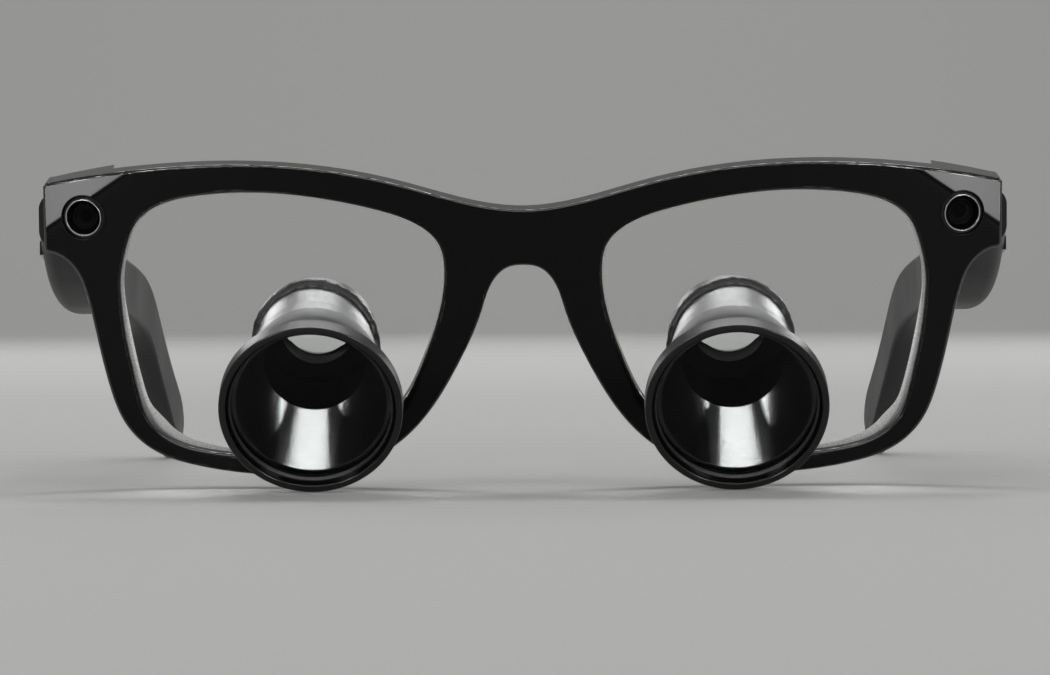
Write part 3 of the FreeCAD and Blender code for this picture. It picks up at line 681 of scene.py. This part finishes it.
def camera_forms():
    """Profiles of the turned pieces round one camera: name, profile, material, node and slot."""
    outer = recess_radius - fit
    inner = window_radius + fit
    back = fit - recess_depth
    bezel = rounded([(back, inner, 0), (back, outer, 0), (bezel_proud, outer, 0.08),
                     (bezel_proud, outer - bezel_rim, 0.06), (bezel_floor, outer - bezel_bank, 0.05),
                     (bezel_floor, inner, 0)])
    ring = rounded([(bright_ring_foot, inner, 0), (bright_ring_foot, bright_ring_radius, 0),
                    (bright_ring_top, bright_ring_radius, 0.06),
                    (bright_ring_top, bright_ring_radius - bright_ring_rim, 0.05),
                    (bright_ring_lip, inner, 0.04)])
    window = rounded([(window_back, 0, 0), (window_back, window_radius, 0),
                      (window_front, window_radius, 0.06), (window_front, 0, 0)])
    top, step = module_front + tube_height, module_front + tube_step
    tube = rounded([(module_front, tube_bore_radius, 0), (module_front, tube_radius, 0),
                    (top, tube_radius, 0.1), (top, tube_rim_radius, 0.05),
                    (step, tube_ledge_radii[0], 0.05), (step, tube_ledge_radii[1], 0.05),
                    (module_front + tube_seat, tube_bore_radius, 0.05)])
    turns = [math.pi / 2 * k / small_lens_steps for k in range(small_lens_steps, -1, -1)]
    small = [Vector((module_front, 0)), Vector((module_front, small_lens_radius))] + [
        Vector((module_front + small_lens_edge + small_lens_crown * math.cos(turn),
                small_lens_radius * math.sin(turn))) for turn in turns]
    return (("bezel_", bezel, gunmetal, "camera_bezel_", "bezel_plastic"),
            ("bezel_ring_", ring, polished_ring, "camera_bezel_", "bezel_plastic"),
            ("window_", window, smoked, "camera_window_", "window_glass"),
            ("camera_tube_", tube, moulded_abs, None, "module_plastic"),
            ("camera_lens_", small, camera_glass, None, "optic_glass"))


# Materials

def linear(hexa):
    """sRGB hex colour as linear RGBA."""
    parts = [int(hexa[i:i + 2], 16) / 255 for i in (1, 3, 5)]
    return tuple(c / 12.92 if c <= 0.04045 else ((c + 0.055) / 1.055) ** 2.4 for c in parts) + (1.0,)


def cells(size):
    """Texture scale for a pattern whose cells are this many millimetres."""
    return 1 / (size * MM)


def joined(node, inputs):
    """Sets or links a node's inputs, by name or number: each takes a value or another node's output."""
    for key, value in inputs.items():
        if isinstance(value, bpy.types.NodeSocket):
            node.id_data.links.new(value, node.inputs[key])
        else:
            node.inputs[key].default_value = value
    return node


def add(tree, kind, inputs=(), **settings):
    """Adds a shader node with its settings and links."""
    made = tree.nodes.new(kind)
    for key, value in settings.items():
        setattr(made, key, value)
    return joined(made, dict(inputs))


def finish(name, colour, roughness, **sockets):
    """A material with its constant values set on the shader itself. Returns it, its tree and its shader."""
    material = bpy.data.materials.new(name)
    material.use_nodes = True
    tree = material.node_tree
    shader = joined(tree.nodes["Principled BSDF"], {"Base Color": linear(colour), "Roughness": roughness})
    joined(shader, {key.replace("_", " "): value for key, value in sockets.items()})
    return material, tree, shader


def grained(name, colour, roughness, grain, relief, gloss=None, strength=0.4, **sockets):
    """A finish whose grain lifts it and varies its gloss. Grain and relief are in millimetres, and gloss is the
    least and most roughness, or else it goes from a quarter under the roughness to a third over it."""
    material, tree, shader = finish(name, colour, roughness, **sockets)
    low, high = gloss or (roughness * 0.75, roughness * 1.3)
    place = add(tree, "ShaderNodeTexCoord").outputs["Object"]
    texture = add(tree, "ShaderNodeTexNoise", {"Vector": place, "Scale": cells(grain), "Detail": 3.0})
    shine = add(tree, "ShaderNodeMapRange", {"Value": texture.outputs["Fac"], "From Min": 0.3,
                                             "From Max": 0.7, "To Min": low, "To Max": high})
    bump = add(tree, "ShaderNodeBump", {"Height": texture.outputs["Fac"], "Distance": relief * MM,
                                        "Strength": strength})
    joined(shader, {"Roughness": shine.outputs["Result"], "Normal": bump.outputs["Normal"]})
    return material


def polished_acetate():
    """Cellulose acetate, moulded in one piece and tumbled: a deep black gloss with soft haze from handling,
    hairline scuffs and a few specks of dust. Scuffs 0.4 mm wide are coarser than real ones, so that they show."""
    black, dust_grey = "#050506", "#8C8A86"
    material, tree, shader = finish("polished_black_acetate", black, 0.08, IOR=1.48, Specular_IOR_Level=0.16)
    place = add(tree, "ShaderNodeTexCoord").outputs["Object"]
    haze = add(tree, "ShaderNodeTexNoise", {"Vector": place, "Scale": cells(14), "Detail": 4.0})
    stretched = add(tree, "ShaderNodeMapping", {"Vector": place, "Scale": (1, 14, 14),
                                                "Rotation": (0.3, 0.2, 0.1)})
    scuffs = add(tree, "ShaderNodeTexNoise", {"Vector": stretched.outputs["Vector"], "Scale": cells(6),
                                              "Detail": 3.0})
    fine = add(tree, "ShaderNodeMapRange", {"Value": scuffs.outputs["Fac"], "From Min": 0.62, "From Max": 0.75,
                                            "To Min": 0.0, "To Max": 0.05})
    broad = add(tree, "ShaderNodeMapRange", {"Value": haze.outputs["Fac"], "From Min": 0.3, "From Max": 0.7,
                                             "To Min": 0.05, "To Max": 0.13})
    rough = add(tree, "ShaderNodeMath", {0: broad.outputs["Result"], 1: fine.outputs["Result"]},
                operation="ADD")

    # Dust lies in fewer than half of the cells, each speck 0.07 to 0.15 mm from its middle
    dust = add(tree, "ShaderNodeTexVoronoi", {"Vector": place, "Scale": cells(7)})
    speck = add(tree, "ShaderNodeMapRange", {"Value": dust.outputs["Distance"], "From Min": 0.010,
                                             "From Max": 0.022, "To Min": 1.0, "To Max": 0.0})
    chance = add(tree, "ShaderNodeSeparateColor", {"Color": dust.outputs["Color"]})
    chosen = add(tree, "ShaderNodeMath", {0: chance.outputs["Red"], 1: 0.55}, operation="GREATER_THAN")
    dots = add(tree, "ShaderNodeMath", {0: speck.outputs["Result"], 1: chosen.outputs["Value"]},
               operation="MULTIPLY")
    colour = add(tree, "ShaderNodeMix", {"Factor": dots.outputs["Value"]}, data_type="RGBA")
    colour.inputs["A"].default_value = linear(black)
    colour.inputs["B"].default_value = linear(dust_grey)
    bump = add(tree, "ShaderNodeBump", {"Height": haze.outputs["Fac"], "Distance": 0.01 * MM,
                                        "Strength": 0.25})
    joined(shader, {"Base Color": colour.outputs["Result"], "Roughness": rough.outputs["Value"],
                    "Normal": bump.outputs["Normal"]})
    return material


def moulded_nylon(name, colour, grain):
    """Nylon, injection-moulded against a spark-eroded tool: a matt, finely grained charcoal, with patches of
    18 mm that handling has polished a little. The real grain is 0.1 mm, so it is drawn coarser to show."""
    material, tree, shader = finish(name, colour, 0.5, IOR=1.53, Specular_IOR_Level=0.3)
    place = add(tree, "ShaderNodeTexCoord").outputs["Object"]
    wear = add(tree, "ShaderNodeTexNoise", {"Vector": place, "Scale": cells(18), "Detail": 3.0})
    texture = add(tree, "ShaderNodeTexNoise", {"Vector": place, "Scale": cells(grain), "Detail": 2.0})
    shine = add(tree, "ShaderNodeMapRange", {"Value": wear.outputs["Fac"], "From Min": 0.3, "From Max": 0.7,
                                             "To Min": 0.38, "To Max": 0.56})
    bump = add(tree, "ShaderNodeBump", {"Height": texture.outputs["Fac"], "Distance": 0.05 * MM,
                                        "Strength": 0.5})
    joined(shader, {"Roughness": shine.outputs["Result"], "Normal": bump.outputs["Normal"]})
    return material


def anodised_aluminium():
    """Aluminium, turned on a lathe and anodised black: satin, with fine rings round the axis that stretch each
    highlight. The UV map runs in turns and in millimetres, so the rings are 0.11 mm apart, a common feed."""
    material, tree, shader = finish("satin_anodised_aluminium", "#646465", 0.4, Metallic=0.9)
    along = add(tree, "ShaderNodeUVMap", uv_map="turned").outputs["UV"]
    rings = add(tree, "ShaderNodeMapping", {"Vector": along, "Scale": (0.6, 9.0, 1)})
    lines = add(tree, "ShaderNodeTexNoise", {"Vector": rings.outputs["Vector"], "Scale": 1.0, "Detail": 3.0})
    shine = add(tree, "ShaderNodeMapRange", {"Value": lines.outputs["Fac"], "From Min": 0.3, "From Max": 0.7,
                                             "To Min": 0.36, "To Max": 0.5})
    bump = add(tree, "ShaderNodeBump", {"Height": lines.outputs["Fac"], "Distance": 0.012 * MM,
                                        "Strength": 0.5})
    joined(shader, {"Roughness": shine.outputs["Result"], "Normal": bump.outputs["Normal"]})
    return material


def clear_glass(name, colour, ior, haze):
    """Polished lens with an anti-reflection coating: clear, with faint reflections and a trace of wiping haze
    in patches of 9 mm. An IOR under the glass's own gives it those reflections, as the coating does."""
    material, tree, shader = finish(name, colour, 0.0, IOR=ior, Transmission_Weight=1.0)
    place = add(tree, "ShaderNodeTexCoord").outputs["Object"]
    smear = add(tree, "ShaderNodeTexNoise", {"Vector": place, "Scale": cells(9), "Detail": 4.0})
    shine = add(tree, "ShaderNodeMapRange", {"Value": smear.outputs["Fac"], "From Min": 0.45, "From Max": 0.75,
                                             "To Min": 0.0, "To Max": haze})
    joined(shader, {"Roughness": shine.outputs["Result"]})
    return material


acetate = polished_acetate()
nylon = moulded_nylon("matt_charcoal_nylon", "#1C1C1D", 0.35)
cover_nylon = moulded_nylon("matt_black_nylon", "#161617", 0.3)
anodised = anodised_aluminium()
lens_clear = clear_glass("coated_polycarbonate", "#F8F9F8", 1.2, 0.03)
optic_glass = clear_glass("coated_crown_glass", "#F4F6F5", 1.18, 0.02)

# Sprayed gloss lacquer: near black, but it mirrors the light that comes in at the eyepiece, a little broken by
# spray grains of 0.35 mm
bore_lacquer = grained("black_gloss_lacquer", "#040404", 0.12, 0.35, 0.006, (0.08, 0.2), 0.3, IOR=1.52)
# Sprayed matt paint, in the barrel behind the objective: it swallows light, so that its grains of 0.3 mm hardly
# show
matt_paint = grained("matt_black_paint", "#050505", 0.7, 0.3, 0.02, Specular_IOR_Level=0.0)
# Ground and flame-polished polycarbonate: frosted, and painted near white so that it shows as a bright line,
# partly the real frosting and partly a painted highlight. Its real grit is
# 0.03 mm, so it is drawn ten times as coarse to show
frosted_bevel_painted_highlight = grained("ground_lens_bevel_and_painted_highlight", "#FAFAF8", 0.3, 0.3, 0.03, (0.12, 0.5), 0.3,
                      IOR=1.5, Transmission_Weight=0.15)
# Acetate edges, buffed on a wheel: a thin bright line along each rim, with slow waves of 4 mm
buffed_edge = grained("buffed_acetate_edge", "#0A0A0B", 0.12, 4.0, 0.001, IOR=1.48, Specular_IOR_Level=1.0)

# Camera parts. Polished aluminium gives the bright ring, with faint swirls of 0.6 mm, and plated metal round it
# a dark one with a soft shine. Its brushed grain of 0.2 mm is coarser than the real 0.05 mm, to show
polished_ring = grained("polished_aluminium", "#C9C9CA", 0.18, 0.6, 0.01, Metallic=1.0)
gunmetal = grained("gunmetal_plating", "#2E2E30", 0.22, 0.2, 0.005, Metallic=1.0)
# Cast acrylic, tinted in the mass: a dark disc, behind which the small lens can just be made out. It is thin,
# so its IOR is low, which keeps that lens in its place. Both glasses have slow waves of 4 mm
smoked = grained("smoked_acrylic", "#76767A", 0.03, 4.0, 0.001, IOR=1.12, Transmission_Weight=1.0)
camera_glass = grained("coated_black_glass", "#060608", 0.04, 4.0, 0.001, IOR=1.6)
# ABS, moulded in a textured tool for the tubes and speakers, which are dull, and in a polished one for the bars,
# button and switch, which shine. The texture of 0.6 mm is coarser than the real 0.1 mm, to show
moulded_abs = grained("moulded_black_abs", "#0D0D0E", 0.45, 0.6, 0.01, IOR=1.5)
polished_abs = grained("polished_black_abs", "#0B0B0C", 0.1, 0.6, 0.01, IOR=1.5)
# Epoxy, laid by hand and cured in the open: a half gloss skin with pits and dust of 0.5 mm
adhesive = grained("cured_black_epoxy", "#101011", 0.4, 0.5, 0.08, IOR=1.55)

# Hinges of stamped and satin-ground steel, screws of oil-blackened steel, contacts plated with gold. The grain
# of 0.2 to 0.3 mm is coarser than the 0.05 mm of real grinding, so that it shows
steel = grained("satin_stainless_steel", "#A9A8A6", 0.3, 0.2, 0.01, Metallic=1.0)
blackened = grained("blackened_steel", "#4A4A4B", 0.35, 0.2, 0.01, Metallic=1.0)
gold = grained("gold_plating", "#D9B25C", 0.25, 0.3, 0.005, Metallic=1.0)
# Inside the temples: cells in pouches of pressed foil, with creases of 1.2 mm, and boards under a glossy green
# mask that follows tracks of 0.8 mm
foil = grained("aluminium_foil_pouch", "#B8B9BB", 0.35, 1.2, 0.05, Metallic=1.0)
laminate = grained("green_solder_mask", "#12402A", 0.25, 0.8, 0.01, IOR=1.5)


# Pieces

# CAD nodes of each side whose shape is right: node, material and slot
kept_shapes = (("camera_module_", moulded_abs, "module_plastic"), ("hinge_front_", steel, "hinge_steel"),
               ("hinge_rear_", steel, "hinge_steel"), ("hinge_screw_", blackened, "screw_steel"),
               ("temple_shell_", nylon, "temple_plastic"), ("temple_cover_", cover_nylon, "cover_plastic"),
               ("cover_screws_", blackened, "screw_steel"), ("trim_bars_", polished_abs, "trim_plastic"),
               ("battery_", foil, "cell_foil"), ("circuit_board_", laminate, "board_laminate"),
               ("speaker_", moulded_abs, "speaker_plastic"))

# The whole front, in one piece
front_rims = copied("front_frame", (acetate, buffed_edge), "front_rims")
tumbled_corners(front_rims.data)
for hand, side in sides:
    def at_telescope(along, radius, angle, side=side):
        return telescope_place(side, along, radius, angle)

    def at_camera(along, radius, angle, side=side):
        return camera_place(side, along, radius, angle)

    lens = mesh_from("lens_" + hand, *carrier_lens(side))
    # The lens's second finish is its frosted bevel, painted near white as a highlight along the edge
    piece = add_piece(lens, (lens_clear, frosted_bevel_painted_highlight), "front", ["carrier_lens_" + hand], lens_edge_angle)
    piece.visible_shadow = False
    bead = mesh_from("bead_" + hand, *bonding_bead(side))
    add_piece(bead, (adhesive,), "front", ["bonding_collar_" + hand], bead_edge_angle)

    for name, profile, material, node, slot in telescope_forms():
        mesh = spun(name + hand, profile, at_telescope, turned_segments)
        materials = (anodised, bore_lacquer, matt_paint) if material is anodised else (material,) * 3
        piece = add_piece(mesh, materials, "front", [node + hand], turned_edge_angle)
        if material is bore_lacquer:
            stepped_bore(mesh, at_telescope)
        piece.visible_shadow = material is not optic_glass
    for name, profile, material, node, slot in camera_forms():
        mesh = spun(name + hand, profile, at_camera, small_turned_segments)
        replaced = [node + hand] if node else ()
        piece = add_piece(mesh, (material,) * 3, "front", replaced, turned_edge_angle)
        piece.visible_shadow = material is not smoked
    for node, material, slot in kept_shapes:
        copied(node + hand, (material,))
copied("capture_button", (polished_abs,))
copied("power_switch", (polished_abs,))
copied("charging_contacts", (gold,))


# Studio, in metres and watts

floor_front = -3.0
floor_back = 2.4
floor_half_breadth = 3.5
sweep_radius = 0.9
sweep_steps = 12
backdrop_height = 3.5
world_strength = 0.4


def paper_sweep():
    """Pale floor that curves up into a backdrop: matt paper, with no gloss that a lamp could mirror in."""
    paper = finish("pale_studio_paper", "#A6A6A4", 0.6, Specular_IOR_Level=0.2)[0]
    profile = [(floor_front, 0.0), (floor_back, 0.0)]
    for k in range(1, sweep_steps + 1):
        turn = math.pi / 2 * k / sweep_steps
        profile.append((floor_back + math.sin(turn) * sweep_radius,
                        sweep_radius - math.cos(turn) * sweep_radius))
    profile.append((floor_back + sweep_radius, backdrop_height))
    points = [(x, y, z) for x in (-floor_half_breadth, floor_half_breadth) for y, z in profile]
    count = len(profile)
    mesh = bpy.data.meshes.new("paper_sweep")
    mesh.from_pydata(points, [], [(i, count + i, count + i + 1, i + 1) for i in range(count - 1)])
    mesh.materials.append(paper)
    for polygon in mesh.polygons:
        polygon.use_smooth = True
    floor = bpy.data.objects.new("paper_sweep", mesh)
    bpy.context.scene.collection.objects.link(floor)


def softbox(name, place, size, watts, target=(0, 0, 0), spread=180):
    """Rectangular lamp that faces its target. A spread in degrees below 180 holds its light off the floor."""
    light = bpy.data.lights.new(name, "AREA")
    light.shape = "RECTANGLE"
    light.size, light.size_y = size
    light.energy = watts
    light.spread = math.radians(spread)
    lamp = bpy.data.objects.new(name, light)
    lamp.location = place
    lamp.rotation_euler = (Vector(target) - Vector(place)).to_track_quat("-Z", "Y").to_euler()
    bpy.context.scene.collection.objects.link(lamp)


paper_sweep()
softbox("overhead_light", (0.0, 0.7, 1.0), (0.8, 0.25), 6)
for hand, side in sides:
    softbox("window_light_" + hand, (side * 0.8, -1.35, 0.34), (0.42, 0.3), 0.3, spread=40)
softbox("front_light", (0.0, -0.75, 0.95), (1.2, 0.4), 3)
for hand, side in sides:
    softbox("rim_light_" + hand, (side * 0.95, 1.3, 0.7), (0.45, 0.6), 7)
for hand, side in sides:
    softbox("side_light_" + hand, (side * 1.3, -0.3, 0.8), (0.7, 0.9), 2.5)
softbox("backdrop_light", (0.0, 1.4, 1.25), (2.4, 0.6), 24, target=(0, 3.0, 0.1))
world = bpy.data.worlds.new("studio_room")
bpy.context.scene.world = world
world.use_nodes = True
joined(world.node_tree.nodes["Background"], {"Color": linear("#D2D2D2"), "Strength": world_strength})

# Camera at the photograph's viewing angle, in metres, with the photograph's size and axis in its pixels
camera_distance = 0.700
camera_rise = 0.0308
camera_pitch = math.radians(-0.62)
camera_roll = math.radians(-0.33)
camera_clip = 0.01
sensor_width = 36
focal_pixels = 4545
image_width = 1050
axis_column = 523.5
lens_data = bpy.data.cameras.new("view_camera")
lens_data.sensor_width = sensor_width
lens_data.lens = focal_pixels / image_width * sensor_width
lens_data.clip_start = camera_clip
lens_data.shift_x = (image_width / 2 - axis_column) / image_width
camera = bpy.data.objects.new("view_camera", lens_data)
camera.location = (0, front_origin.y - camera_distance, camera_rise)
camera.rotation_euler = (Matrix.Rotation(math.pi / 2 + camera_pitch, 3, "X")
                         @ Matrix.Rotation(camera_roll, 3, "Z")).to_euler()
bpy.context.scene.collection.objects.link(camera)
bpy.context.scene.camera = camera
bpy.context.scene.view_settings.view_transform = "Standard"

bpy.context.view_layer.update()
